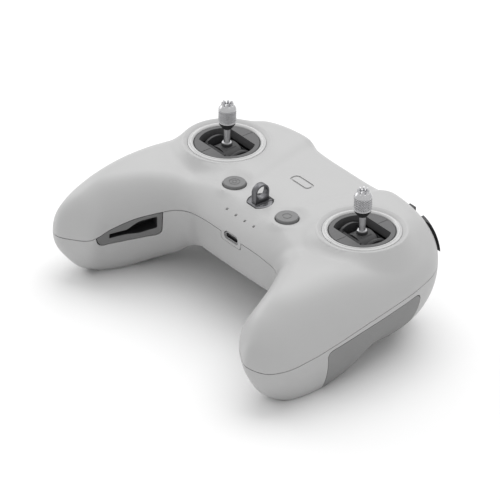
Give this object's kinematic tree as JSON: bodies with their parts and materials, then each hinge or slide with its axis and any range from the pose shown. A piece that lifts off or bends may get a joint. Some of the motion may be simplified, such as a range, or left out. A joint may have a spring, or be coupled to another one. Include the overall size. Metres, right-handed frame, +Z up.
{
  "type": "radio transmitter controller",
  "caption": "Handheld radio transmitter for a small aircraft, with twin metal thumb sticks in round gimbals, a lanyard hook between round buttons, shoulder controls and moulded grips.",
  "frame": {"origin": "under the middle of the controller, on the surface it rests on", "axes": "+X to the user's right, -Y towards the user and the grip tips, +Z up out of the faceplate, with the sticks upright"},
  "size_m": [0.165, 0.12, 0.075],
  "materials": {
    "shell": "fine satin texture",
    "grip_pad": "fine moulded texture",
    "dark_plastic": "matt",
    "plate_plastic": "satin",
    "black_plastic": "matt",
    "trim_ring": "satin gloss",
    "button_plastic": "satin",
    "stick_metal": "brushed",
    "cap_metal": "knurled",
    "hook_metal": "dark anodised satin",
    "screw_metal": "plain",
    "circuit_board": "solder mask",
    "cell_wrap": "plastic wrap over metal",
    "clear_plastic": "frosted"
  },
  "bodies": {
    "casing": {"top_shell": "shell", "bottom_shell": "shell", "left_grip_pad": "grip_pad", "left_storage_insert": "dark_plastic", "left_gimbal_ring": "trim_ring", "left_gimbal_cover": "plate_plastic", "left_gimbal_housing": "black_plastic", "left_gimbal_sensor": "circuit_board", "left_gimbal_ribbon": "black_plastic", "left_antenna": "circuit_board", "left_grip_screw": "screw_metal", "left_front_screw": "screw_metal", "left_rear_screw": "screw_metal", "right_grip_pad": "grip_pad", "right_storage_insert": "dark_plastic", "right_gimbal_ring": "trim_ring", "right_gimbal_cover": "plate_plastic", "right_gimbal_housing": "black_plastic", "right_gimbal_sensor": "circuit_board", "right_gimbal_ribbon": "black_plastic", "right_antenna": "circuit_board", "right_grip_screw": "screw_metal", "right_front_screw": "screw_metal", "right_rear_screw": "screw_metal", "power_tact_switch": "black_plastic", "custom_tact_switch": "black_plastic", "lanyard_hook": "hook_metal", "status_light_guide": "clear_plastic", "button_board": "circuit_board", "usb_port_shell": "screw_metal", "usb_port_tongue": "black_plastic", "main_board": "circuit_board", "buzzer": "black_plastic", "battery_cell": "cell_wrap", "battery_holder": "black_plastic", "dial_axle": "screw_metal"},
    "left_drum": {"left_gimbal_drum": "dark_plastic"},
    "left_stick": {"left_stick": "stick_metal"},
    "left_cone": {"left_stick_cone": "black_plastic"},
    "left_cap": {"left_thumb_cap": "cap_metal"},
    "right_drum": {"right_gimbal_drum": "dark_plastic"},
    "right_stick": {"right_stick": "stick_metal"},
    "right_cone": {"right_stick_cone": "black_plastic"},
    "right_cap": {"right_thumb_cap": "cap_metal"},
    "power_button": {"power_button": "button_plastic"},
    "custom_button": {"custom_button": "button_plastic"},
    "record_button": {"record_button": "dark_plastic"},
    "pause_button": {"pause_button": "dark_plastic"},
    "flight_mode_switch": {"flight_mode_switch": "dark_plastic"},
    "right_toggle": {"right_toggle": "dark_plastic"},
    "left_toggle": {"left_toggle": "dark_plastic"},
    "gimbal_dial": {"gimbal_dial": "dark_plastic"}
  },
  "joints": [
    {"name": "left_drum_tilt", "type": "hinge", "parent": "casing", "child": "left_drum", "pos_m": [-0.0485, 0.02125, 0.0448], "axis": [1, 0, 0], "range_deg": [-25, 25], "stiffness_Nm_per_rad": 0.02},
    {"name": "left_stick_tilt", "type": "hinge", "parent": "left_drum", "child": "left_stick", "pos_m": [-0.0485, 0.02125, 0.0448], "axis": [0, 1, 0], "range_deg": [-25, 25], "stiffness_Nm_per_rad": 0.02},
    {"name": "left_cap_lift", "type": "slide", "parent": "left_stick", "child": "left_cone", "axis": [0, 0, 1], "range_m": [0, 0.001]},
    {"name": "left_cap_turn", "type": "hinge", "parent": "left_cone", "child": "left_cap", "pos_m": [-0.0485, 0.02125, 0.0448], "axis": [0, 0, 1], "range_deg": [0, 720]},
    {"name": "right_drum_tilt", "type": "hinge", "parent": "casing", "child": "right_drum", "pos_m": [0.0485, 0.02125, 0.0448], "axis": [1, 0, 0], "range_deg": [-25, 25], "stiffness_Nm_per_rad": 0.02},
    {"name": "right_stick_tilt", "type": "hinge", "parent": "right_drum", "child": "right_stick", "pos_m": [0.0485, 0.02125, 0.0448], "axis": [0, 1, 0], "range_deg": [-25, 25], "stiffness_Nm_per_rad": 0.02},
    {"name": "right_cap_lift", "type": "slide", "parent": "right_stick", "child": "right_cone", "axis": [0, 0, 1], "range_m": [0, 0.001]},
    {"name": "right_cap_turn", "type": "hinge", "parent": "right_cone", "child": "right_cap", "pos_m": [0.0485, 0.02125, 0.0448], "axis": [0, 0, 1], "range_deg": [0, 720]},
    {"name": "power_button_press", "type": "slide", "parent": "casing", "child": "power_button", "axis": [0, 0, -1], "range_m": [0, 0.0008], "stiffness_N_per_m": 800},
    {"name": "custom_button_press", "type": "slide", "parent": "casing", "child": "custom_button", "axis": [0, 0, -1], "range_m": [0, 0.0008], "stiffness_N_per_m": 800},
    {"name": "record_button_press", "type": "slide", "parent": "casing", "child": "record_button", "axis": [0, -1, 0], "range_m": [0, 0.001], "stiffness_N_per_m": 800},
    {"name": "pause_button_press", "type": "slide", "parent": "casing", "child": "pause_button", "axis": [0, -1, 0], "range_m": [0, 0.0008], "stiffness_N_per_m": 800},
    {"name": "flight_mode_slide", "type": "slide", "parent": "casing", "child": "flight_mode_switch", "axis": [1, 0, 0], "range_m": [-0.003, 0.003]},
    {"name": "right_toggle_tilt", "type": "hinge", "parent": "casing", "child": "right_toggle", "pos_m": [0.0286, 0.05385, 0.0435], "axis": [1, 0, 0], "range_deg": [-12, 12], "stiffness_Nm_per_rad": 0.02},
    {"name": "left_toggle_tilt", "type": "hinge", "parent": "casing", "child": "left_toggle", "pos_m": [-0.062, 0.04965, 0.0425], "axis": [1, 0, 0], "range_deg": [-12, 12], "stiffness_Nm_per_rad": 0.02},
    {"name": "gimbal_dial_turn", "type": "hinge", "parent": "casing", "child": "gimbal_dial", "pos_m": [-0.048, 0.05285, 0.0432], "axis": [1, 0, 0], "range_deg": [-30, 30], "stiffness_Nm_per_rad": 0.004}
  ],
  "couplings": [
    {"joint": "left_cap_turn", "follows": "left_cap_lift", "rad_per_m": 12560},
    {"joint": "right_cap_turn", "follows": "right_cap_lift", "rad_per_m": 12560}
  ]
}
